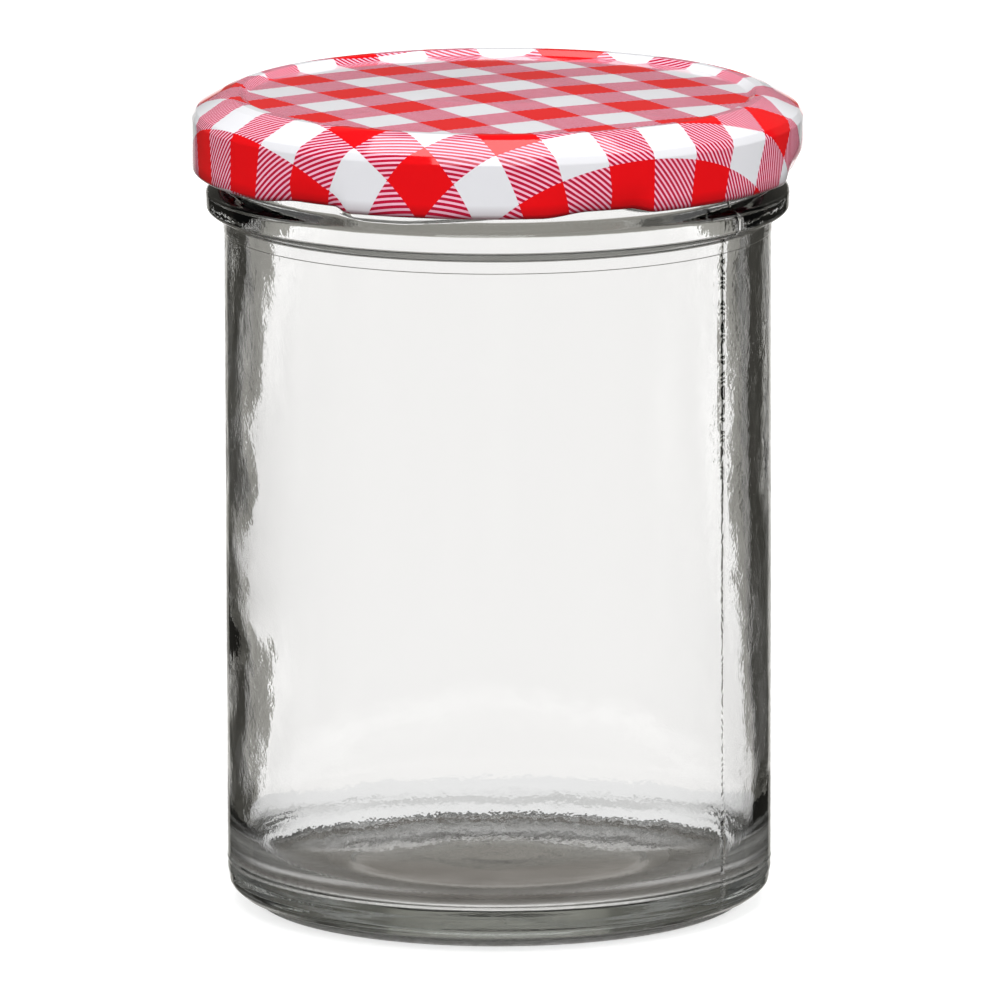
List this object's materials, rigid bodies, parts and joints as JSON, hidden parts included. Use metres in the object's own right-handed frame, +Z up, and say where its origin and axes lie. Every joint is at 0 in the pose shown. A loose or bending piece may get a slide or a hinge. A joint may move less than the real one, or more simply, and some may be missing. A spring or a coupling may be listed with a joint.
{
  "type": "preserving jar",
  "caption": "Straight-sided clear glass preserving jar with a low foot ring and a bead under the neck, closed with a pressed steel lug cap printed in red and white gingham.",
  "frame": {"origin": "centre of the foot ring, on the surface the jar stands on", "axes": "+Z up along the jar's axis; the lug cap's printed squares are turned about thirty degrees from X; -Y is the side facing the viewer"},
  "size_m": [0.0858, 0.0858, 0.1153],
  "materials": {
    "jar_glass": "clear, glossy, slightly uneven moulded glass",
    "cap_print": "gloss lacquer over a red and white gingham print on tinplate"
  },
  "bodies": {
    "root": {"jar": "jar_glass", "cap": "cap_print"}
  },
  "joints": []
}
